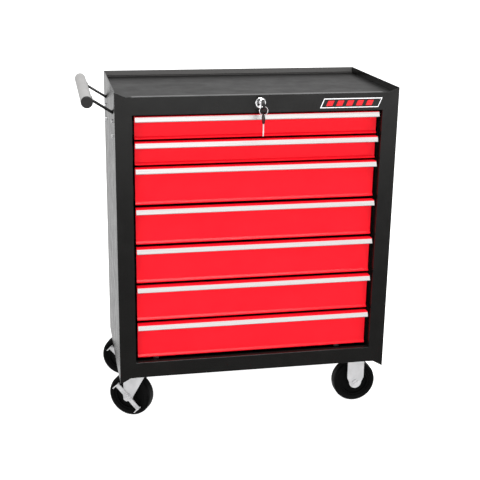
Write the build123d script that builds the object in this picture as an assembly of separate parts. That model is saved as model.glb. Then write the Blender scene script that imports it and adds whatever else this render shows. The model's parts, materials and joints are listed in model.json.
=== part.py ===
from build123d import *
import math
import os

# Seven-drawer rolling tool cabinet, in millimetres, standing on its castors.
# X runs left to right, the drawers face -Y, and Z is up from the floor.
# While it is being drawn, X = 0 and Y = 0 are the middle of the cabinet body.

# --- overall sizes ---------------------------------------------------------
body_width = 616.0
body_depth = 330.0
sheet = 0.8                    # thickness of all the folded sheet metal
fold = 1.4                     # outside radius of its folds

# --- drawers, from the top down --------------------------------------------
shallow_front = 51.0
deep_front = 82.8
shallow_count = 2
deep_count = 5
shallow_gap = 4.5              # under a shallow front
deep_gap = 6.5                 # under a deep front
top_clear = 3.0                # above the first front
bottom_clear = 5.5             # below the last front
side_clear = 6.2               # between a front and the post beside it
front_recess = 20.0            # red face behind the frame's front plane
kick = 4.0                     # how far the foot of a front steps forward
kick_low, kick_high = 2.5, 6.5
front_return = 12.0            # depth of the folded front behind its face
wall_below_front_top = 7.0     # box walls stop this far under the front's top
wall_above_front_foot = 4.0    # box bottom sits this far over the front's foot
drawer_travel = 260.0
box_back_clear = 22.0          # behind the drawer boxes, for the lock bar

# --- pulls -----------------------------------------------------------------
pull_wall = 1.5
pull_height = 12.2             # from the front's head to the foot of the pull
pull_top_out = 16.5            # top edge ahead of the red face
pull_foot_out = 21.5           # lower edge ahead of the red face
pull_lip = 3.0                 # turned-back lip at the foot
pull_fold = 1.8                # outside radius where the lip turns back
pull_leaf = 10.0               # depth of the leaf under the shelf
shelf_lip = 1.4                # turned-down front edge of the shelf over the pull

# --- frame -----------------------------------------------------------------
post_width = 36.0
post_depth = 18.0
post_return = 17.0
top_rail_height = 38.9
bottom_rail_height = 36.5
rail_depth = 15.0
corner_rise = 9.8              # corner tips above the top rail
corner_run = 24.0
foot_drop = 13.3               # foot tips below the bottom rail
foot_run = 23.5
tray_below_tip = 14.5          # tray surface under the lips around it
hem = 11.0                     # height of the folded-over top edge
back_emboss = 1.5

# --- castors ---------------------------------------------------------------
wheel_radius = 50.8
wheel_width = 32.0
castor_over_wheel = 25.4       # from the top of a wheel to the bottom pan
pan_above_foot = 20.0
castor_inset_x = 52.0          # castor middles inside the body's faces
castor_inset_y = 55.0
hub_radius = 38.0
hub_past_wheel = 4.0           # hub longer than the wheel is wide
hub_boss = 12.0
axle_radius = 4.0
axle_head = 8.5
running_fit = 0.05             # radial clearance of a shaft in its hole
side_fit = 0.7                 # between a hub's end and the fork
trail = 25.0
front_turn, rear_turn = -30.0, -22.0   # how the two swivel forks stand at rest
fork_wall = 2.5
leg_half_top = 20.0            # rigid fork's leg at the plate
leg_straight_above_axle = 13.0
leg_foot = 14.5
swivel_leg_behind = 11.0       # swivel leg's upright edge behind the axle
swivel_leg_ahead = 44.0        # its top corner ahead of the axle
swivel_leg_foot = 12.0
plate_long, plate_wide = 92.0, 70.0
plate_thick = 2.5
plate_corner = 8.0
race_drop = 10.5               # swivel bearing under its plate
race_outer, race_inner = 26.0, 18.0
kingpin_radius = 6.0
bolt_radius = 3.9
bolt_hole = 4.2
bolt_head = 7.0
bolt_inset = 9.0
pedal_length = 76.0
pedal_arm = 11.0               # height of the pedal's arms
pedal_boss = 9.0
pedal_pivot = 6.0
pedal_tab = 17.0
pedal_tab_out = 10.0
pedal_tilt = 45.0
pedal_wall = 2.0
pedal_swing = 18.0             # degrees between free and braked

# --- slides ----------------------------------------------------------------
slide_height = 30.0
slide_wall = 1.0
slide_gap = 0.5
slide_shorter = 42.0           # slide length under the body's depth
slide_reach = 10.0             # flange width of the slide members
upright_depth = 25.0
upright_inset = 35.0           # upright middles inside the body's front and back
upright_foot = 13.0            # clear of the castor bolts' nuts

# --- lock ------------------------------------------------------------------
barrel_radius = 9.5
barrel_length = 13.0
bezel_radius = 11.5
bezel_proud = 4.0
bezel_dish, dish_depth = 8.5, 2.5
plug_radius = 6.0
lock_above_opening = 21.8
crank_radius = 8.0
crank_peg = 2.5
rod_radius = 3.0
lock_turn = 90.0
bar_width = 28.0
bar_wall = 2.0
key_wall = 2.0
key_width = 7.0
blade_length = 29.0
grip_wall = 4.0
grip_radius = 11.0
grip_over_blade = 3.0
ring_radius = 9.0
wire_radius = 0.8
key_hole = 3.5
hole_from_edge = 5.5

# --- push handle on the left side ------------------------------------------
handle_radius = 12.5
handle_wall = 1.5
handle_longer = 2.0            # tube longer than the body is deep
handle_cap = 4.0
handle_out = 55.5              # tube centre outside the side panel
handle_below_tip = 18.0        # tube centre under the corner tips
bracket_inset = 64.0           # bracket middles inside the body's front and back
bracket_width = 25.0
bracket_wall = 3.0
bracket_fold = 5.0
bracket_bend_below_tip = 54.0
bracket_leg = 62.0
screw_drops = (17.0, 49.0)     # bracket screws under the bend
screw_radius = 2.4
screw_head = 4.6
saddle_wall = 2.0
saddle_width = 14.0

# --- places that follow from the sizes above --------------------------------
half_w, half_d = body_width / 2, body_depth / 2
front_y, back_y = -half_d, half_d
castor_height = 2 * wheel_radius + castor_over_wheel   # floor to the bottom pan
in_x = half_w - sheet                       # inside of the side panels
foot_z = castor_height - pan_above_foot
rail_foot_z = foot_z + foot_drop
opening_foot = rail_foot_z + bottom_rail_height
front_heights = [shallow_front] * shallow_count + [deep_front] * deep_count
gaps_under = [shallow_gap] * shallow_count + [deep_gap] * (deep_count - 1) + [bottom_clear]
drawer_count = len(front_heights)
opening_height = top_clear + sum(front_heights) + sum(gaps_under)
opening_top = opening_foot + opening_height
rail_top = opening_top + top_rail_height
total_height = rail_top + corner_rise
tray_z = total_height - tray_below_tip
opening_x = half_w - post_width
front_x = opening_x - side_clear
face_y = front_y + front_recess
lip_y = face_y - kick
return_y = face_y + front_return
slide_y0 = return_y + 2.0
slide_length = body_depth - slide_shorter
upright_y = half_d - upright_inset
bracket_y = half_d - bracket_inset
bracket_bend = total_height - bracket_bend_below_tip
castor_x, castor_y = half_w - castor_inset_x, half_d - castor_inset_y
hub_length = wheel_width + hub_past_wheel
fork_inner = hub_length / 2 + side_fit
fork_outer = fork_inner + fork_wall
web_top = castor_height - plate_thick - race_drop - 0.3
upright_x = opening_x - 1.5
lock_z = opening_top + lock_above_opening
runner_x = upright_x - slide_wall - 12.0    # outside of the drawer boxes
box_back = back_y - box_back_clear
bar_y = back_y - sheet - back_emboss - 4.0  # back of the lock bar
lift = 2 * crank_radius * math.sin(math.radians(lock_turn / 2))


def slab(x0, x1, y0, y1, z0, z1):
    """A block between two corners."""
    return Pos((x0 + x1) / 2, (y0 + y1) / 2, (z0 + z1) / 2) * Box(x1 - x0, y1 - y0, z1 - z0)


def rod(radius, start, end):
    """A round bar from one point to another."""
    axis = Vector(*end) - Vector(*start)
    return extrude(Plane(origin=start, z_dir=axis) * Circle(radius), amount=axis.length)


def bent(path, wall, radius=0.0):
    """The outline of a bent sheet: one face follows path, the other is to its left.

    radius rounds the outside of its bends, and the inside by a wall less.
    """
    points = [Vector(*p) for p in path]
    others, corners = [], []
    for i, here in enumerate(points):
        into = (here - points[i - 1]).normalized() if i else None
        out = (points[i + 1] - here).normalized() if i + 1 < len(points) else None
        a, b = into or out, out or into
        left_a, left_b = Vector(-a.Y, a.X), Vector(-b.Y, b.X)
        mid = (left_a + left_b).normalized()
        others.append(here + mid * (wall / mid.dot(left_a)))
        if into and out:
            path_outside = (a.X * b.Y - a.Y * b.X) * wall > 0
            pair = (here, others[-1]) if path_outside else (others[-1], here)
            corners += [(pair[0], radius), (pair[1], radius - abs(wall))]
    face = make_face(Polyline(*[(p.X, p.Y) for p in points + others[::-1]], close=True))
    for corner, rounding in corners:
        if rounding > 0:
            face = fillet(face.vertices().sort_by_distance(corner)[0], rounding)
    return face


def along_x(face, x0, x1):
    """Extrude an outline given in Y and Z."""
    return extrude(Plane.YZ.offset(x0) * face, amount=x1 - x0)


def along_y(face, y0, y1):
    """Extrude an outline given in X and Z."""
    return extrude(Plane.XZ.offset(-y0) * face, amount=-(y1 - y0))


def along_z(face, z0, z1):
    """Extrude an outline given in X and Y."""
    return extrude(Plane.XY.offset(z0) * face, amount=z1 - z0)


def outline(*points):
    return make_face(Polyline(*points, close=True))


def group(*solids):
    """Several separate solids that share a node."""
    return Compound(children=[s for piece in solids for s in piece.solids()])


def left_copy(shape):
    return mirror(shape, about=Plane.YZ)


# --- the cabinet's shell -----------------------------------------------------

def side_panel(for_handle):
    """Right side: one sheet with the front post, rear flange and hemmed top folded on."""
    post_face = outline(
        (opening_x, rail_foot_z), (half_w - foot_run, rail_foot_z), (half_w, foot_z),
        (half_w, total_height), (half_w - corner_run, rail_top), (opening_x, rail_top))
    post_back = front_y + post_depth
    panel = slab(in_x, half_w, front_y, back_y, foot_z, total_height)
    panel += along_y(post_face, front_y, front_y + sheet)
    corner = panel.edges().filter_by(Axis.Z).sort_by_distance((half_w, front_y, tray_z))[0]
    panel = fillet(corner, fold)
    returns = bent([(opening_x + post_return, post_back), (opening_x, post_back),
                    (opening_x, front_y)], sheet)
    panel += along_z(returns, rail_foot_z, tray_z - sheet)
    panel += slab(in_x - 15, in_x, back_y - 2 * sheet, back_y - sheet,
                  foot_z, tray_z - 20)
    panel += slab(in_x - sheet, in_x, front_y + post_depth, back_y - 3 * sheet,
                  total_height - hem, total_height)
    if for_handle:
        half = bracket_width / 2 + 0.5
        slot_top = bracket_bend + bracket_wall / math.cos(arm_rise()) + 2.0
        for y in (-bracket_y, bracket_y):
            panel -= slab(in_x - 1, half_w + 1, y - half, y + half, bracket_bend - 1.5, slot_top)
            for z in bracket_screw_heights():
                panel -= rod(screw_radius + 0.3, (in_x - 1, y, z), (half_w + 1, y, z))
    return panel


def back_panel():
    """Back sheet with a hemmed top, two pressed fields and the lock bar's guides."""
    panel = slab(-in_x, in_x, back_y - sheet, back_y, foot_z, total_height)
    panel += slab(-in_x + 2, in_x - 2, back_y - 2 * sheet, back_y - sheet,
                  total_height - hem, total_height)
    for side in (-1, 1):
        x0, x1 = sorted((side * 30.0, side * (in_x - 40)))
        z0, z1 = foot_z + 60, tray_z - 60
        panel += slab(x0, x1, back_y - sheet - back_emboss, back_y - sheet, z0, z1)
        panel -= slab(x0 + sheet, x1 - sheet, back_y - back_emboss, back_y + 1,
                      z0 + sheet, z1 - sheet)
    half = bar_width / 2 + 0.5
    front = bar_y - bar_wall - 0.5
    bridge = bent([(-half - 8, back_y - sheet), (-half, back_y - sheet), (-half, front),
                   (half, front), (half, back_y - sheet), (half + 8, back_y - sheet)], -sheet)
    for z in guide_heights():
        panel += along_z(bridge, z, z + 12)
    return panel


def top_tray():
    """Flat tray with turned-down edges and the bearing of the lock rod under it."""
    mouth = front_y + rail_depth
    tray = slab(-in_x, in_x, mouth, back_y - sheet, tray_z - sheet, tray_z)
    for x0, x1 in ((-in_x, -opening_x - sheet), (opening_x + sheet, in_x)):
        tray += slab(x0, x1, front_y + sheet, mouth, tray_z - sheet, tray_z)
    tray += slab(-opening_x + 1, opening_x - 1, mouth, mouth + sheet, tray_z - 8, tray_z)
    tray += slab(-bar_width, bar_width, box_back - 2, box_back, lock_z - 10, tray_z)
    tray -= rod(rod_radius + running_fit, (0, box_back - 5, lock_z), (0, box_back + 5, lock_z))
    return tray


def front_top_rail():
    """Channel above the drawers, with the hole for the lock."""
    mouth = front_y + rail_depth
    section = bent([(mouth, tray_z - 6), (mouth, rail_top), (front_y, rail_top),
                    (front_y, opening_top), (mouth, opening_top),
                    (mouth, opening_top + 8)], sheet, fold)
    rail = along_x(section, -opening_x, opening_x)
    return rail - rod(barrel_radius + 0.1, (0, front_y - 1, lock_z), (0, front_y + 5, lock_z))


def front_bottom_rail():
    mouth = front_y + rail_depth
    section = bent([(mouth, opening_foot - 8), (mouth, opening_foot), (front_y, opening_foot),
                    (front_y, rail_foot_z), (mouth, rail_foot_z)], sheet, fold)
    return along_x(section, -opening_x, opening_x)


def bottom_pan():
    """Floor of the cabinet, which the castors bolt to."""
    z0 = castor_height
    pan = slab(-in_x, in_x, front_y + post_depth, back_y - 2 * sheet, z0, z0 + sheet)
    pan += slab(-opening_x, opening_x, front_y + rail_depth, front_y + post_depth,
                z0, z0 + sheet)
    pan += slab(-opening_x, opening_x, front_y + rail_depth, front_y + rail_depth + sheet,
                rail_foot_z, z0)
    for x, y in castor_places():
        for hx, hy in bolt_places(x, y):
            pan -= rod(bolt_hole, (hx, hy, z0 - 1), (hx, hy, z0 + 5))
    return pan


def slide_uprights():
    """Four channels between the floor and the tray that carry the drawer slides."""
    half = upright_depth / 2
    uprights = []
    for y in (-upright_y, upright_y):
        section = bent([(in_x, y - half), (upright_x, y - half),
                        (upright_x, y + half), (in_x, y + half)], -sheet)
        right = along_z(section, castor_height + sheet + upright_foot, tray_z - sheet)
        uprights += [right, left_copy(right)]
    return group(*uprights)


# --- drawers and slides --------------------------------------------------------

def front_foot(i):
    """Height of the lower edge of front i, counted from the top."""
    return opening_top - top_clear - sum(front_heights[:i + 1]) - sum(gaps_under[:i])


def slide_z(i):
    return front_foot(i) + wall_above_front_foot + slide_height / 2 + 4


def channel(web, reach, height, y0, z):
    """A slide member: a C whose web is at X = web and whose flanges reach towards reach."""
    half = height / 2
    wall = slide_wall if reach < web else -slide_wall
    section = bent([(reach, z - half), (web, z - half), (web, z + half), (reach, z + half)],
                   wall)
    return along_y(section, y0, y0 + slide_length)


def fixed_rails():
    rails = []
    for i in range(drawer_count):
        right = channel(upright_x, upright_x - slide_reach, slide_height, slide_y0, slide_z(i))
        rails += [right, left_copy(right)]
    return group(*rails)


def middle_rails(i):
    web = upright_x - slide_wall - slide_gap
    height = slide_height - 2 * (slide_wall + slide_gap)
    right = channel(web, upright_x - slide_reach, height, slide_y0, slide_z(i))
    return group(right, left_copy(right))


def runners(i):
    height = slide_height - 4 * (slide_wall + slide_gap)
    tip = upright_x - 2 * (slide_wall + slide_gap)
    right = channel(runner_x, tip, height, slide_y0, slide_z(i))
    return group(right, left_copy(right))


def drawer(i):
    """A folded front welded to an open box, with the lock tab behind."""
    foot, height = front_foot(i), front_heights[i]
    head = foot + height
    section = bent([(return_y, foot), (lip_y, foot), (lip_y, foot + kick_low),
                    (face_y, foot + kick_high), (face_y, head)], -sheet, fold)
    shell = along_x(section, -front_x, front_x)
    shelf_y = face_y - pull_top_out
    shelf = bent([(return_y, head), (shelf_y, head), (shelf_y, head - shelf_lip)], sheet,
                 min(fold, shelf_lip - 0.3))
    shell += along_x(shelf, -front_x, front_x)
    for x0, x1 in ((-front_x, -front_x + sheet), (front_x - sheet, front_x)):
        shell += slab(x0, x1, face_y, return_y, foot, head)
    z0, z1 = foot + wall_above_front_foot, head - wall_below_front_top
    box = slab(-runner_x, runner_x, return_y - sheet, box_back, z0, z1)
    box -= slab(-runner_x + sheet, runner_x - sheet, return_y, box_back - sheet,
                z0 + sheet, z1 + 1)
    web = slab(-runner_x, runner_x, return_y - sheet, return_y, foot, z0)
    tab_z = tab_height(i)
    tab = bent([(box_back - sheet, tab_z), (bar_y - 5, tab_z), (bar_y - 5, tab_z - 9)], sheet)
    return shell + box + web + along_x(tab, -9, 9)


def pull(i):
    """Extruded finger pull: a leaf under the shelf, a sloping face and a turned-back lip."""
    head = front_foot(i) + front_heights[i]
    top_y, foot_y = face_y - pull_top_out, face_y - pull_foot_out
    face = bent([(top_y, head - shelf_lip), (foot_y, head - pull_height),
                 (foot_y + pull_lip, head - pull_height)], pull_wall, pull_fold)
    behind_lip = top_y + sheet + 0.4
    strip = along_x(face, -front_x, front_x)
    strip += slab(-front_x, front_x, top_y + 0.5, behind_lip + pull_wall,
                  head - shelf_lip - 2 * pull_wall, head - shelf_lip)
    return strip + slab(-front_x, front_x, behind_lip, behind_lip + pull_leaf,
                        head - sheet - pull_wall, head - sheet)


# --- lock ----------------------------------------------------------------------

def tab_height(i):
    return front_foot(i) + wall_above_front_foot + 27


def guide_heights():
    """Two bridges on the back, each between two of the bar's hooks."""
    upper = (tab_height(2) + tab_height(3)) / 2
    lower = (tab_height(drawer_count - 2) + tab_height(drawer_count - 1)) / 2
    return [upper, lower]


def lock_housing():
    """Chrome barrel with its bezel in front of the rail and its nut behind."""
    bezel = Plane.XZ.offset(-front_y) * Circle(bezel_radius)
    housing = Pos(0, 0, lock_z) * extrude(bezel, amount=bezel_proud)
    ring = housing.edges().filter_by(GeomType.CIRCLE).sort_by(Axis.Y)[0]
    housing = chamfer(ring, 1.2)
    housing += rod(barrel_radius, (0, front_y, lock_z), (0, front_y + barrel_length, lock_z))
    nut = Plane.XZ.offset(-(front_y + sheet)) * RegularPolygon(13, 6)
    housing += Pos(0, 0, lock_z) * extrude(nut, amount=-5)
    mouth = front_y - bezel_proud
    housing -= rod(bezel_dish, (0, mouth - 1, lock_z), (0, mouth + dish_depth, lock_z))
    bore = plug_radius + running_fit
    return housing - rod(bore, (0, front_y - 10, lock_z), (0, front_y + 30, lock_z))


def lock_plug():
    """Plug with the key slot, and the rod and crank it turns at the back."""
    y0 = front_y - bezel_proud + dish_depth - 0.5
    plug_end = front_y + barrel_length + 1
    end = bar_y - bar_wall - 1.0
    plug = rod(plug_radius, (0, y0, lock_z), (0, plug_end, lock_z))
    plug -= slab(-key_wall / 2 - 0.2, key_wall / 2 + 0.2, y0 - 1, plug_end - 2,
                 lock_z - 4, lock_z + 4)
    plug += rod(rod_radius, (0, plug_end, lock_z), (0, end, lock_z))
    peg = crank_radius * math.sin(math.radians(lock_turn / 2))
    arm = Pos(-peg / 2, end - 1.5, lock_z - peg / 2) * Rot(0, lock_turn / 2, 0) * Box(
        7, 3, crank_radius + 7)
    plug += arm
    return plug + rod(crank_peg, (-peg, end - 1, lock_z - peg), (-peg, bar_y + 1, lock_z - peg))


def key_tip():
    return front_y + barrel_length - 2


def grip_middle():
    """Y of the middle of the key's round plastic grip."""
    return key_tip() - blade_length - grip_radius + grip_over_blade


def hole_place():
    """Y of the hole that the ring passes through."""
    return grip_middle() - grip_radius + hole_from_edge


def key():
    """Steel blade, from its tip to the middle of the grip that is moulded on it."""
    half, tip = key_wall / 2, key_tip()
    blade = slab(-half, half, tip - blade_length, tip, lock_z - key_width / 2,
                 lock_z + key_width / 2)
    return blade


def key_grip():
    half, y = grip_wall / 2, grip_middle()
    grip = rod(grip_radius, (-half, y, lock_z), (half, y, lock_z))
    grip -= rod(key_hole, (-half - 1, hole_place(), lock_z), (half + 1, hole_place(), lock_z))
    return grip - key()


def key_ring():
    """The wire ring in the grip's hole."""
    hang = key_hole - wire_radius - 0.2
    centre_z = lock_z - hang - ring_radius
    return Pos(0, hole_place(), centre_z) * Rot(90, 0, 0) * Torus(ring_radius, wire_radius)


def lock_bar():
    """Upright bar that the crank lifts, with one hook for each drawer."""
    foot = tab_height(drawer_count - 1) - 40
    front = bar_y - bar_wall
    peg = crank_radius * math.sin(math.radians(lock_turn / 2))
    room = crank_peg + 0.4
    head = lock_z - peg + room + 3.0
    bar = slab(-bar_width / 2, bar_width / 2, front, bar_y, foot, head)
    bar -= slab(-crank_radius - room, -peg + room, front - 1, bar_y + 1,
                lock_z - peg - room, lock_z - peg + room)
    for i in range(drawer_count):
        tip = tab_height(i) - lift - 1.2
        hook = bent([(front, tip - 11), (front - 9.5, tip - 11), (front - 9.5, tip)], -bar_wall)
        bar += along_x(hook, -6, 6)
    return bar


# --- push handle ------------------------------------------------------------------

def bracket_screw_heights():
    return [bracket_bend - drop for drop in screw_drops]


def handle_axis():
    return -half_w - handle_out, total_height - handle_below_tip


def handle_tube():
    x, z = handle_axis()
    half = (body_depth + handle_longer) / 2
    tube = rod(handle_radius, (x, -half, z), (x, half, z))
    return tube - rod(handle_radius - handle_wall, (x, -half - 1, z), (x, half + 1, z))


def handle_end_caps():
    """Domed plastic caps, each with a plug inside the tube."""
    x, z = handle_axis()
    inner = (body_depth + handle_longer) / 2
    outer = inner + handle_cap
    cap = rod(handle_radius, (x, -inner, z), (x, -outer, z))
    rim = cap.edges().filter_by(GeomType.CIRCLE).sort_by(Axis.Y)[0]
    cap = fillet(rim, 2.5)
    cap += rod(handle_radius - handle_wall - 0.1, (x, -inner, z), (x, -inner + 10, z))
    return group(cap, mirror(cap, about=Plane.XZ))


def arm_rise():
    """Angle at which the bracket arms rise from the side panel to the tube."""
    x, z = handle_axis()
    return math.atan2(z - bracket_bend, -in_x - x)


def handle_brackets():
    """Two straps: a leg inside the side panel, an arm out through its slot and a saddle."""
    x, z = handle_axis()
    rise = arm_rise()
    reach = math.hypot(z - bracket_bend, -in_x - x) - handle_radius - 1
    tip = (-in_x - reach * math.cos(rise), bracket_bend + reach * math.sin(rise))
    strap = bent([(-in_x, bracket_bend - bracket_leg), (-in_x, bracket_bend), tip],
                 -bracket_wall, bracket_fold)
    inner = handle_radius + running_fit
    saddle = Pos(x, z) * (Circle(inner + saddle_wall) - Circle(inner))
    window = Pos(x, z) * Rot(0, 0, -math.degrees(rise)) * Pos(20, 0) * Rectangle(40, saddle_width)
    section = (strap + (saddle & window)) - Pos(x, z) * Circle(inner)
    near = along_y(section, -bracket_y - bracket_width / 2, -bracket_y + bracket_width / 2)
    for height in bracket_screw_heights():
        near -= rod(screw_radius + 0.3, (-in_x - 1, -bracket_y, height),
                    (-in_x + bracket_wall + 1, -bracket_y, height))
    return group(near, mirror(near, about=Plane.XZ))


def handle_screws():
    """Pan-head screws in from outside, with nuts on the legs of the brackets."""
    screws = []
    seat = -in_x + bracket_wall
    for y in (-bracket_y, bracket_y):
        for z in bracket_screw_heights():
            screw = rod(screw_radius, (-half_w - 0.1, y, z), (seat + 7, y, z))
            screw += rod(screw_head, (-half_w - 2.6, y, z), (-half_w, y, z))
            nut = extrude(Plane((seat, y, z), z_dir=(1, 0, 0)) * RegularPolygon(4.6, 6), amount=4)
            screws.append(screw + nut)
    return group(*screws)


# --- castors ------------------------------------------------------------------------

def castor_places():
    return [(sx * castor_x, sy * castor_y) for sx in (-1, 1) for sy in (-1, 1)]


def bolt_places(x, y):
    dx, dy = plate_long / 2 - bolt_inset, plate_wide / 2 - bolt_inset
    return [(x + i * dx, y + j * dy) for i in (-1, 1) for j in (-1, 1)]


def mounting_plate():
    """Castor plate about its own middle, under Z = castor_height."""
    plate = RectangleRounded(plate_long, plate_wide, plate_corner)
    for x, y in bolt_places(0, 0):
        plate -= Pos(x, y) * Circle(bolt_hole)
    return along_z(plate, castor_height - plate_thick, castor_height)


def rigid_leg():
    """Side view of a rigid fork's leg: straight down, then in to a round foot."""
    top, shoulder = castor_height - plate_thick, wheel_radius + leg_straight_above_axle
    straight = outline((-leg_half_top, top), (-leg_half_top, shoulder), (-leg_foot, wheel_radius),
                       (leg_foot, wheel_radius), (leg_half_top, shoulder), (leg_half_top, top))
    return straight + Pos(0, wheel_radius) * Circle(leg_foot)


def swivel_leg():
    """Side view of a swivel fork's leg, which trails towards -X: one edge is upright."""
    straight = outline((-trail - swivel_leg_behind, web_top),
                       (-trail - swivel_leg_behind, wheel_radius),
                       (-trail + swivel_leg_foot, wheel_radius),
                       (-trail + swivel_leg_ahead, web_top - fork_wall),
                       (-trail + swivel_leg_ahead, web_top))
    return straight + Pos(-trail, wheel_radius) * Circle(swivel_leg_foot)


def fork_legs(section, axle_x):
    legs = []
    for y0 in (-fork_outer, fork_inner):
        hole = rod(axle_radius + running_fit, (axle_x, y0 - 1, wheel_radius),
                   (axle_x, y0 + fork_wall + 1, wheel_radius))
        legs.append(along_y(section, y0, y0 + fork_wall) - hole)
    return legs


def rigid_fork():
    near, far = fork_legs(rigid_leg(), 0.0)
    return mounting_plate() + near + far


def swivel_plate():
    """Plate with the outer race of the swivel bearing pressed under it."""
    under = castor_height - plate_thick
    race = Circle(race_outer) - Circle(race_inner)
    plate = mounting_plate() + along_z(race, under - race_drop, under)
    return plate - rod(kingpin_radius + running_fit, (0, 0, under - 1), (0, 0, castor_height + 1))


def swivel_fork():
    """Pressed fork with its kingpin, trailing towards -X before it is turned."""
    back, ahead = -trail - swivel_leg_behind, -trail + swivel_leg_ahead
    crown = Pos((back + ahead) / 2, 0) * Rectangle(ahead - back, 2 * fork_outer)
    crown = along_z(crown + Circle(race_outer), web_top - fork_wall, web_top)
    near, far = fork_legs(swivel_leg(), -trail)
    pin = rod(kingpin_radius, (0, 0, web_top - fork_wall - 2), (0, 0, castor_height - 0.4))
    return crown + near + far + pin


def hex_end(y, direction, radius, height):
    """A bolt head or nut standing on the plane at Y = y."""
    seat = Plane((0, y, 0), z_dir=(0, direction, 0))
    return extrude(seat * RegularPolygon(radius, 6), amount=height)


def axle():
    """Axle bolt along Y at its wheel's middle, with its head and nut beyond the fork."""
    side = fork_outer + 0.1
    bolt = rod(axle_radius, (0, -side - 9, 0), (0, side + 1, 0))
    return bolt + hex_end(side, 1, axle_head, 5) + hex_end(-side, -1, axle_head, 6)


def swivel_axle():
    """Axle bolt with the round shoulder that the brake pedal rocks on."""
    side, shoulder = fork_outer + 0.1, fork_outer + 0.4 + pedal_wall + 0.4
    bolt = rod(axle_radius, (0, -shoulder - 9, 0), (0, side + 1, 0))
    bolt += rod(pedal_pivot, (0, -side, 0), (0, -shoulder, 0))
    return bolt + hex_end(side, 1, axle_head, 5) + hex_end(-shoulder, -1, axle_head, 6)


def wheel():
    """Wheel about its axle along Y: a hub with a pressed disc, and its tyre."""
    half = wheel_width / 2
    hub = Rot(90, 0, 0) * Cylinder(hub_radius, wheel_width - 6)
    hub += Rot(90, 0, 0) * Cylinder(hub_boss, hub_length)
    hub -= Rot(90, 0, 0) * Cylinder(axle_radius + running_fit, hub_length + 2)
    for side in (-1, 1):
        dish = Pos(0, side * (half - 3), 0) * Rot(90, 0, 0)
        hub -= dish * (Cylinder(hub_radius - 6, 6) - Cylinder(hub_boss + 4, 8))
    inner = hub_radius + running_fit
    tread = outline((inner, -half + 1.5), (wheel_radius - 5, -half), (wheel_radius - 1.2, -half + 3),
                    (wheel_radius, -half + 8), (wheel_radius, half - 8),
                    (wheel_radius - 1.2, half - 3), (wheel_radius - 5, half), (inner, half - 1.5))
    return hub, revolve(tread, axis=Axis.Y)


def brake_pedal():
    """Rocker on the axle's outer end, with a foot tab turned out at each end."""
    y1 = -fork_outer - 0.4
    y0 = y1 - pedal_wall
    half = pedal_length / 2
    blank = Circle(pedal_boss) + Rectangle(pedal_length, pedal_arm)
    plate = along_y(blank - Circle(pedal_pivot + running_fit), y0, y1)
    for x in (-1, 1):
        x0, x1 = sorted((x * half, x * (half - pedal_wall)))
        plate += slab(x0, x1, y0 - pedal_tab_out, y0 + pedal_wall / 2,
                      -pedal_tab / 2, pedal_tab / 2)
    return Rot(0, pedal_tilt, 0) * plate


def castor_bolts():
    """Hex bolts up through each plate and the pan, with nuts inside."""
    bolts = []
    for x, y in castor_places():
        for hx, hy in bolt_places(x, y):
            under = castor_height - plate_thick
            over = castor_height + sheet
            bolt = rod(bolt_radius, (hx, hy, under), (hx, hy, over + 10))
            bolt += Pos(hx, hy) * along_z(RegularPolygon(bolt_head, 6), under - 4.5, under)
            bolt += Pos(hx, hy) * along_z(RegularPolygon(bolt_head, 6), over, over + 6)
            bolts.append(bolt)
    return group(*bolts)


# --- assembly -------------------------------------------------------------------------

def build_nodes():
    hub, tyre = wheel()
    wheel_pair = group(hub, tyre)
    nodes = {
        "right_side_panel": side_panel(for_handle=False),
        "left_side_panel": left_copy(side_panel(for_handle=True)),
        "back_panel": back_panel(),
        "top_tray": top_tray(),
        "front_top_rail": front_top_rail(),
        "front_bottom_rail": front_bottom_rail(),
        "bottom_pan": bottom_pan(),
        "slide_uprights": slide_uprights(),
        "fixed_slide_rails": fixed_rails(),
        "lock_housing": lock_housing(),
        "lock_plug": lock_plug(),
        "key": key(),
        "key_grip": key_grip(),
        "key_ring": key_ring(),
        "lock_bar": lock_bar(),
        "handle_tube": handle_tube(),
        "handle_end_caps": handle_end_caps(),
        "handle_brackets": handle_brackets(),
        "handle_screws": handle_screws(),
        "castor_bolts": castor_bolts(),
    }
    for i in range(drawer_count):
        nodes[f"drawer_{i + 1}"] = drawer(i)
        nodes[f"drawer_{i + 1}_pull"] = pull(i)
        nodes[f"drawer_{i + 1}_runners"] = runners(i)
        nodes[f"drawer_{i + 1}_middle_rails"] = middle_rails(i)
    forks, plates, axles = [], [], []
    for place, y, turn in (("front", -castor_y, front_turn), ("rear", castor_y, rear_turn)):
        at_axle = Pos(castor_x, y, wheel_radius)
        forks.append(Pos(castor_x, y, 0) * rigid_fork())
        axles.append(at_axle * axle())
        nodes[f"{place}_right_wheel"] = at_axle * wheel_pair
        swivel = Pos(-castor_x, y, 0) * Rot(0, 0, turn)
        at_axle = swivel * Pos(-trail, 0, wheel_radius)
        plates.append(Pos(-castor_x, y, 0) * swivel_plate())
        nodes[f"{place}_swivel_fork"] = group(swivel * swivel_fork(), at_axle * swivel_axle())
        nodes[f"{place}_left_wheel"] = at_axle * wheel_pair
        nodes[f"{place}_brake_pedal"] = at_axle * brake_pedal()
    nodes["rigid_castor_forks"] = group(*forks)
    nodes["rigid_castor_axles"] = group(*axles)
    nodes["swivel_castor_plates"] = group(*plates)
    return nodes


nodes = build_nodes()
box = Compound(children=[s for shape in nodes.values() for s in shape.solids()]).bounding_box()
to_origin = Vector(-(box.min.X + box.max.X) / 2, -(box.min.Y + box.max.Y) / 2, -box.min.Z)

os.makedirs("parts", exist_ok=True)
for name, shape in nodes.items():
    placed = Pos(*to_origin) * shape
    solids = placed.solids()
    export_step(solids[0] if len(solids) == 1 else Compound(children=solids), f"parts/{name}.step")
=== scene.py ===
import bmesh
import bpy
import json
import math
from mathutils import Matrix, Vector


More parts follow.
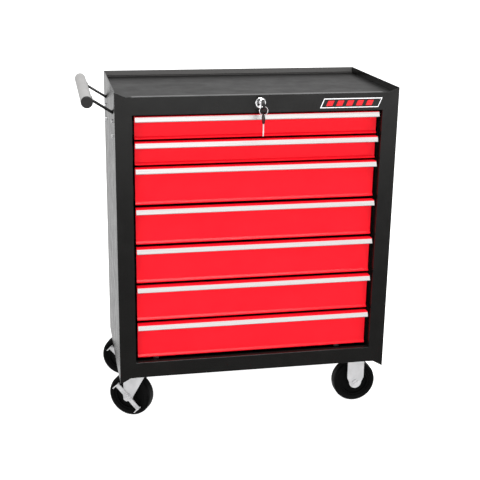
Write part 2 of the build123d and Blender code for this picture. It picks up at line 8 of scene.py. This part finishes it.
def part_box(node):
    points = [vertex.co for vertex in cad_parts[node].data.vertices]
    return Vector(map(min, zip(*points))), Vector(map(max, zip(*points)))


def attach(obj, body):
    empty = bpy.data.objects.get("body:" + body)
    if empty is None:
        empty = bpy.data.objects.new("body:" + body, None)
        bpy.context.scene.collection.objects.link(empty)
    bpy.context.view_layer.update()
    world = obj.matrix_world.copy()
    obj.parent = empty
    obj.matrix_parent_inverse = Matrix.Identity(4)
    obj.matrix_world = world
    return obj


# Looks for the seven-drawer rolling tool cabinet: finishes for the CAD nodes, the badge,
# the spare key, the studio and the camera. Metres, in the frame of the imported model.

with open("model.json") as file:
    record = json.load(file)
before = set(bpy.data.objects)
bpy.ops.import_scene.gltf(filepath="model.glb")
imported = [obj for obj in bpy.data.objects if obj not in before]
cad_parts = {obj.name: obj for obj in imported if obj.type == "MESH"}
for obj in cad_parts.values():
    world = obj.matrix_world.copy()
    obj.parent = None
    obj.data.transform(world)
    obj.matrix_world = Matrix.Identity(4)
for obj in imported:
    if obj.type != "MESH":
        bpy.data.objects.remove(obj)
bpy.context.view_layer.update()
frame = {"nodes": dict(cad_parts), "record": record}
nodes = frame["nodes"]


# --- shader helpers -----------------------------------------------------------------

class Finish:
    """A Principled material and the few nodes that its detail is made of."""

    def __init__(self, name, colour, roughness, **settings):
        self.mat = bpy.data.materials.new(name)
        self.mat.use_nodes = True
        self.mat.diffuse_color = (*colour, 1.0)
        self.tree = self.mat.node_tree
        self.shader = self.tree.nodes["Principled BSDF"]
        self.set("Base Color", (*colour, 1.0))
        self.set("Roughness", roughness)
        for key, value in settings.items():
            self.set(key.replace("_", " "), value)
        self.place = self.tree.nodes.new("ShaderNodeTexCoord").outputs["Object"]

    def set(self, socket, value):
        names = {s.name.lower(): s for s in self.shader.inputs}
        names[socket.lower()].default_value = value

    def link(self, a, b):
        self.tree.links.new(a, b)

    def node(self, kind, **values):
        """A shader node; each value goes to the input or else the property of that name."""
        made = self.tree.nodes.new("ShaderNode" + kind)
        for key, value in values.items():
            if key in made.inputs:
                made.inputs[key].default_value = value
            else:
                setattr(made, key, value)
        return made

    def stretched(self, scale):
        """Object coordinates scaled by a different amount along each axis."""
        mapping = self.node("Mapping", Scale=scale)
        self.link(self.place, mapping.inputs["Vector"])
        return mapping.outputs["Vector"]

    def noise(self, scale, detail=3.0, rough=0.55, place=None):
        made = self.node("TexNoise", Scale=scale, Detail=detail, Roughness=rough)
        self.link(place or self.place, made.inputs["Vector"])
        return made.outputs["Fac"]

    def between(self, factor, low, high, start=0.3, end=0.7):
        """A value that goes from low to high as factor goes from start to end."""
        made = self.node("MapRange")
        made.inputs["From Min"].default_value = start
        made.inputs["From Max"].default_value = end
        made.inputs["To Min"].default_value = low
        made.inputs["To Max"].default_value = high
        self.link(factor, made.inputs["Value"])
        return made.outputs["Result"]

    def blend(self, factor, one, two, start=0.3, end=0.7):
        """A colour that goes from one to two as factor goes from start to end."""
        ramp = self.node("ValToRGB")
        stops = zip(ramp.color_ramp.elements, (start, end), (one, two))
        for element, position, colour in stops:
            element.position = position
            element.color = (*colour, 1.0)
        self.link(factor, ramp.inputs["Fac"])
        return ramp.outputs["Color"]

    def colour(self, socket):
        self.link(socket, self.shader.inputs["Base Color"])

    def roughness(self, socket):
        self.link(socket, self.shader.inputs["Roughness"])

    def bump(self, height, depth):
        """Relief of the given depth in metres, on top of any relief already there."""
        made = self.node("Bump", Strength=1.0, Distance=depth)
        self.link(height, made.inputs["Height"])
        normal = self.shader.inputs["Normal"]
        if normal.is_linked:
            self.link(normal.links[0].from_socket, made.inputs["Normal"])
        self.link(made.outputs["Normal"], normal)


def shade(colour, by):
    """The colour, darker or lighter by a factor."""
    return tuple(min(1.0, c * by) for c in colour)


def powder_coat(name, colour, variation, roughness, ior):
    """Baked powder paint: an even colour, a faint cloudiness and a fine orange peel."""
    clouds, smears, peel, fine_peel = 9.0, 26.0, 420.0, 1500.0
    peel_depth, fine_peel_depth = 0.00006, 0.00002
    finish = Finish(name, colour, roughness, ior=ior)
    low, high = shade(colour, 1 - variation), shade(colour, 1 + variation)
    finish.colour(finish.blend(finish.noise(clouds), low, high))
    finish.roughness(finish.between(finish.noise(smears, 5.0),
                                    roughness - 0.04, roughness + 0.05))
    finish.bump(finish.noise(peel, 2.0), peel_depth)
    finish.bump(finish.noise(fine_peel, 1.0), fine_peel_depth)
    return finish


def brushed(name, colour, roughness):
    """Extruded aluminium with fine lines drawn along X."""
    fine, broad = (6.0, 1900.0, 1900.0), (1.5, 260.0, 260.0)
    line_depth = 0.00003
    finish = Finish(name, colour, roughness, metallic=1.0)
    lines = finish.noise(1.0, 4.0, place=finish.stretched(fine))
    finish.roughness(finish.between(lines, roughness - 0.07, roughness + 0.08))
    finish.bump(lines, line_depth)
    bands = finish.noise(1.0, 2.0, place=finish.stretched(broad))
    finish.colour(finish.blend(bands, shade(colour, 0.93), colour))
    return finish


def plated(name, colour, roughness, metallic):
    """Zinc plate: a cloudy bright coating."""
    clouds, grain, grain_depth = 55.0, 700.0, 0.00003
    finish = Finish(name, colour, roughness, metallic=metallic)
    cloud = finish.noise(clouds, 5.0)
    finish.colour(finish.blend(cloud, shade(colour, 0.88), colour))
    finish.roughness(finish.between(cloud, roughness - 0.08, roughness + 0.1))
    finish.bump(finish.noise(grain, 2.0), grain_depth)
    return finish


def polished(name, colour, roughness):
    """Chrome with the faint haze of handling."""
    haze, grain, grain_depth = 160.0, 900.0, 0.00001
    finish = Finish(name, colour, roughness, metallic=1.0)
    finish.roughness(finish.between(finish.noise(haze, 4.0),
                                    roughness - 0.03, roughness + 0.06))
    finish.bump(finish.noise(grain, 2.0), grain_depth)
    return finish


def moulded(name, colour, roughness, ior, grain, depth):
    """Moulded plastic or rubber with a fine grain."""
    clouds = 30.0
    finish = Finish(name, colour, roughness, ior=ior)
    cloud = finish.noise(clouds, 4.0)
    finish.colour(finish.blend(cloud, shade(colour, 0.8), shade(colour, 1.25)))
    finish.roughness(finish.between(cloud, roughness - 0.06, roughness + 0.07))
    finish.bump(finish.noise(grain, 2.0), depth)
    return finish


def masked(name, front, elsewhere, edge, above=-1.0):
    """One paint ahead of Y = edge and over Z = above, and another elsewhere: a mask used to
    paint shade or sheen.
    """
    variation, roughness, ior = 0.03, 0.22, 1.20
    blur = 0.0005                  # half the width over which one paint gives way
    finish = powder_coat(name, front, variation, roughness, ior)
    split = finish.node("SeparateXYZ")
    finish.link(finish.place, split.inputs["Vector"])
    behind = finish.between(split.outputs["Y"], 0.0, 1.0, edge - blur, edge + blur)
    under = finish.between(split.outputs["Z"], 1.0, 0.0, above - blur, above + blur)
    either = finish.node("Math", operation="MAXIMUM")
    finish.link(behind, either.inputs[0])
    finish.link(under, either.inputs[1])
    mix = finish.node("Mix", data_type="RGBA")
    finish.link(either.outputs[0], mix.inputs["Factor"])
    finish.link(finish.shader.inputs["Base Color"].links[0].from_socket, mix.inputs[6])
    mix.inputs[7].default_value = (*elsewhere, 1.0)
    finish.colour(mix.outputs[2])
    return finish


# --- finishes ------------------------------------------------------------------------

left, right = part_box("left_side_panel"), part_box("right_side_panel")
middle_x = (left[0].x + right[1].x) / 2
middle_y = (left[0].y + left[1].y) / 2
front_y, back_y = left[0].y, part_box("back_panel")[1].y
tray_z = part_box("top_tray")[0].z
gap_shade_edge = 0.021               # red paint ends this far behind the frame's front plane; behind it is painted shade
skin = 0.0007                  # outer part of a sheet's thickness

black = (0.0062, 0.0060, 0.0057)
red = (0.85, 0.008, 0.020)
painted_gap_shade = (0.004, 0.002, 0.002)  # painted shade: near-black behind the drawer faces, standing in for shade in the gaps
# painted sheen: a lighter grey standing in for light reflected by the back panel's lip
lip_painted_sheen = (0.110, 0.108, 0.106)
finishes = {
    "black_paint": powder_coat("black_powder_coat", black, 0.12, 0.22, 1.32),
    # red drawer fronts, with painted shade on everything behind the faces
    "red_paint": masked("red_coat_painted_gap_shade", red, painted_gap_shade, front_y + gap_shade_edge),
    "pull_aluminium": brushed("brushed_aluminium", (0.83, 0.80, 0.79), 0.28),
    "zinc": plated("zinc_plate", (0.74, 0.74, 0.75), 0.36, 0.50),
    "chrome": polished("chrome_plate", (0.82, 0.82, 0.83), 0.10),
    "tube_grey": powder_coat("grey_tube_coat", (0.27, 0.265, 0.26), 0.05, 0.36, 1.32),
    "cap_plastic": moulded("black_cap_plastic", (0.011, 0.010, 0.010), 0.45, 1.38,
                           900.0, 0.00008),
    "wheel_black": moulded("wheel_rubber", (0.0020, 0.0020, 0.0020), 0.45, 1.15,
                           600.0, 0.00005),
}
for sub in frame["record"]["subparts"]:
    data = nodes[sub["node"]].data
    data.materials.clear()
    data.materials.append(finishes[sub["material_slot"]].mat)


def repaint(name, finish):
    """Gives one CAD node a finish of its own."""
    nodes[name].data.materials[0] = finish.mat


repaint("top_tray", powder_coat("tray_powder_coat", black, 0.12, 0.40, 1.22))
# the back panel's lip above the tray gets a painted sheen; the rest stays black
repaint("back_panel", masked("back_panel_painted_sheen", lip_painted_sheen, black, back_y - skin, tray_z))
repaint("handle_brackets", powder_coat("bracket_coat", (0.0035, 0.0034, 0.0033),
                                       0.12, 0.40, 1.18))
for name in nodes.keys():
    if name.endswith(("_runners", "_middle_rails")):
        repaint(name, finishes["black_paint"])
badge_red = powder_coat("badge_red", (0.62, 0.006, 0.012), 0.03, 0.22, 1.40)


# --- pieces that only the looks need -------------------------------------------------------

def piece(name, mesh, body, finish, bevel, segments=2):
    """A finished mesh that rides on a body, with its edges eased."""
    made = bpy.data.objects.new(name, mesh)
    bpy.context.scene.collection.objects.link(made)
    mesh.materials.clear()
    mesh.materials.append(finish.mat)
    easing = made.modifiers.new("eased", "BEVEL")
    easing.width, easing.segments = bevel, segments
    easing.limit_method = "ANGLE"
    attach(made, body)


def closed(name, bm):
    """The mesh of a finished bmesh, with its faces turned outwards."""
    bmesh.ops.recalc_face_normals(bm, faces=bm.faces)
    mesh = bpy.data.meshes.new(name)
    bm.to_mesh(mesh)
    bm.free()
    return mesh


def plate(name, outline, start, thick, across):
    """A flat plate: outline points are two coordinates, across is the axis it is thick along."""
    bm = bmesh.new()

    def corner(p, depth):
        return {"x": (depth, p[0], p[1]), "y": (p[0], depth, p[1])}[across]

    face = bm.faces.new([bm.verts.new(corner(p, start)) for p in outline])
    grown = bmesh.ops.extrude_face_region(bm, geom=[face])["geom"]
    move = {"x": (thick, 0, 0), "y": (0, thick, 0)}[across]
    bmesh.ops.translate(bm, vec=move,
                        verts=[v for v in grown if isinstance(v, bmesh.types.BMVert)])
    return closed(name, bm)


def badge():
    """A blank slanted plate on the top rail: chrome rim, dark field and plain red bars."""
    x0, x1 = middle_x + 0.130, middle_x + 0.270
    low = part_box("front_top_rail")[1].z - 0.0320
    height, lean, rim = 0.0215, 0.009, 0.0022
    bars, bar_share, bar_margin, bar_gap = 5, 0.62, 0.005, 0.0115
    high = low + height
    face = front_y - 0.0001

    def slanted(a, b, z0, z1):
        """Four corners between a and b, leaning to the right as the plate goes up."""
        s0, s1 = (lean * (z - low) / height for z in (z0, z1))
        return [(a + s0, z0), (b - lean + s0, z0), (b - lean + s1, z1), (a + s1, z1)]

    def layer(name, mesh_name, outline, start, thick, finish, bevel):
        piece(name, plate(mesh_name, outline, start, thick, "y"), "cabinet", finish, bevel)

    layer("badge_rim", "badge_rim", slanted(x0, x1, low, high),
          face, -0.0016, finishes["chrome"], 0.0006)
    layer("badge_field", "badge_field", slanted(x0 + rim, x1 - rim, low + rim, high - rim),
          face - 0.0015, -0.0004, finishes["cap_plastic"], 0.0001)
    step = (x1 - x0 - 0.030) / bars
    for i in range(bars):
        a = x0 + bar_gap + i * step
        outline = slanted(a, a + step * bar_share + lean, low + bar_margin, high - bar_margin)
        layer(f"badge_bar_{i + 1}", "badge_bar", outline,
              face - 0.0018, -0.0006, badge_red, 0.0002)


def key_blade(x, y, top):
    """A flat blade that hangs down from the grip, with notches along its rear edge."""
    thick, half, length = 0.002, 0.0035, 0.029
    first_notch, pitch = 0.008, 0.0025
    notches = (0.0, 0.0012, 0.0005, 0.0016, 0.0008, 0.0013, 0.0)
    tip, tip_half, tip_rise = top - length, 0.001, 0.003
    outline = [(y - half, top), (y + half, top)]
    outline += [(y + half - depth, top - first_notch - i * pitch)
                for i, depth in enumerate(notches)]
    outline += [(y + tip_half, tip), (y - tip_half, tip), (y - half, tip + tip_rise)]
    return plate("spare_key_blade", outline, x - thick / 2, thick, "x")


def key_grip(x, y, z, radius, hole_z, hole):
    """A round disc across X, with a hole for the ring near its top."""
    thick, count = 0.003, 40
    turns = [2 * math.pi * i / count for i in range(count)]
    bm = bmesh.new()
    sides = []                     # at each end of the thickness: outer loop, hole loop
    for depth in (x - thick / 2, x + thick / 2):
        sides.append([[bm.verts.new((depth, y + r * math.sin(t), cz + r * math.cos(t)))
                       for t in turns] for r, cz in ((radius, z), (hole, hole_z))])
    for i in range(count):
        j = (i + 1) % count
        for outer, inner in sides:
            bm.faces.new((outer[i], outer[j], inner[j], inner[i]))
        for one, two in zip(*sides):
            bm.faces.new((one[i], one[j], two[j], two[i]))
    return closed("spare_key_grip", bm)


def spare_key():
    """The second key on the ring: notched blade and round grip, hanging edge-on."""
    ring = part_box("key_ring")
    x, y = (ring[0].x + ring[1].x) / 2, (ring[0].y + ring[1].y) / 2
    wire, radius = 0.0008, 0.011
    hole, hole_from_edge, slack = 0.0035, 0.0055, 0.0002
    blade_in_grip = 0.003
    hole_z = ring[0].z + wire - (hole - wire - slack)
    z = hole_z - (radius - hole_from_edge)
    piece("spare_key_blade", key_blade(x, y, z - radius + blade_in_grip),
          "key_ring", finishes["zinc"], 0.0003)
    piece("spare_key_grip", key_grip(x, y, z, radius, hole_z, hole),
          "key_ring", finishes["cap_plastic"], 0.0008, 3)


badge()
spare_key()


# --- studio ----------------------------------------------------------------------------

def floor():
    """A wide pale floor that glows enough to leave only a faint shadow."""
    half, glow = 40.0, 1.0
    corners = [(-half, -half, 0), (half, -half, 0), (half, half, 0), (-half, half, 0)]
    mesh = bpy.data.meshes.new("floor")
    mesh.from_pydata(corners, [], [(0, 1, 2, 3)])
    made = bpy.data.objects.new("floor", mesh)
    bpy.context.scene.collection.objects.link(made)
    finish = Finish("pale_floor", (0.6, 0.6, 0.6), 0.9, ior=1.05)
    finish.colour(finish.blend(finish.noise(2.0), (0.59, 0.59, 0.59), (0.61, 0.61, 0.61)))
    finish.set("Emission Color", (1.0, 1.0, 1.0, 1.0))
    finish.set("Emission Strength", glow)
    mesh.materials.append(finish.mat)
    made.visible_glossy = False


def softbox(name, place, aim, size, power):
    light = bpy.data.lights.new(name, "AREA")
    light.shape = "RECTANGLE"
    light.size, light.size_y = size
    light.energy = power
    made = bpy.data.objects.new(name, light)
    made.location = place
    made.rotation_euler = (Vector(aim) - Vector(place)).to_track_quat("-Z", "Y").to_euler()
    bpy.context.scene.collection.objects.link(made)


def white_room():
    """A pale room: even behind the cabinet, dark low in front and bright above the horizon."""
    strength, behind = 2.0, 0.42
    # height of a direction (its Z) and the grey seen there, ahead of the cabinet
    stops = ((-0.30, 0.08), (-0.21, 0.30), (-0.17, 1.20), (0.0, 0.80), (0.30, 0.50), (1.0, 0.42))
    ahead_from, ahead_to = 0.05, -0.35     # Y of a direction, from behind to ahead
    world = bpy.data.worlds.new("white_room")
    world.use_nodes = True
    tree = world.node_tree
    back = tree.nodes["Background"]
    direction = tree.nodes.new("ShaderNodeTexCoord").outputs["Generated"]
    split = tree.nodes.new("ShaderNodeSeparateXYZ")
    tree.links.new(direction, split.inputs["Vector"])

    def ranged(socket, start, end):
        made = tree.nodes.new("ShaderNodeMapRange")
        made.inputs["From Min"].default_value = start
        made.inputs["From Max"].default_value = end
        tree.links.new(socket, made.inputs["Value"])
        return made.outputs["Result"]

    ramp = tree.nodes.new("ShaderNodeValToRGB")
    while len(ramp.color_ramp.elements) < len(stops):
        ramp.color_ramp.elements.new(0.5)
    for element, (z, grey) in zip(ramp.color_ramp.elements, stops):
        element.position = (z + 1) / 2
        element.color = (grey, grey, grey, 1.0)
    tree.links.new(ranged(split.outputs["Z"], -1.0, 1.0), ramp.inputs["Fac"])
    mix = tree.nodes.new("ShaderNodeMix")
    mix.data_type = "RGBA"
    tree.links.new(ranged(split.outputs["Y"], ahead_from, ahead_to), mix.inputs["Factor"])
    mix.inputs[6].default_value = (behind, behind, behind, 1.0)
    tree.links.new(ramp.outputs["Color"], mix.inputs[7])
    tree.links.new(mix.outputs[2], back.inputs["Color"])
    back.inputs["Strength"].default_value = strength
    bpy.context.scene.world = world


def camera():
    """A long lens a little to the left of the cabinet's middle, looking down on it."""
    place = Vector((middle_x - 0.44537, middle_y - 2.11563, 1.08067))
    yaw, pitch, roll = (math.radians(a) for a in (10.656, 16.904, 0.616))
    lens, sensor, shift = 71.47, 36.0, (0.0360, -0.0366)
    ahead = Vector((math.sin(yaw) * math.cos(pitch), math.cos(yaw) * math.cos(pitch),
                    -math.sin(pitch)))
    level = Vector((math.cos(yaw), -math.sin(yaw), 0.0))
    above = level.cross(ahead)
    across = level * math.cos(roll) + above * math.sin(roll)
    up = above * math.cos(roll) - level * math.sin(roll)
    turn = Matrix((across, up, -ahead)).transposed()
    data = bpy.data.cameras.new("camera")
    data.sensor_width, data.lens = sensor, lens
    data.shift_x, data.shift_y = shift
    made = bpy.data.objects.new("camera", data)
    made.matrix_world = Matrix.Translation(place) @ turn.to_4x4()
    bpy.context.scene.collection.objects.link(made)
    bpy.context.scene.camera = made


floor()
white_room()
softbox("overhead", (0.3, -1.05, 3.4), (0.0, -0.15, 0.4), (1.8, 1.1), 100.0)
camera()
bpy.context.scene.view_settings.view_transform = "Standard"
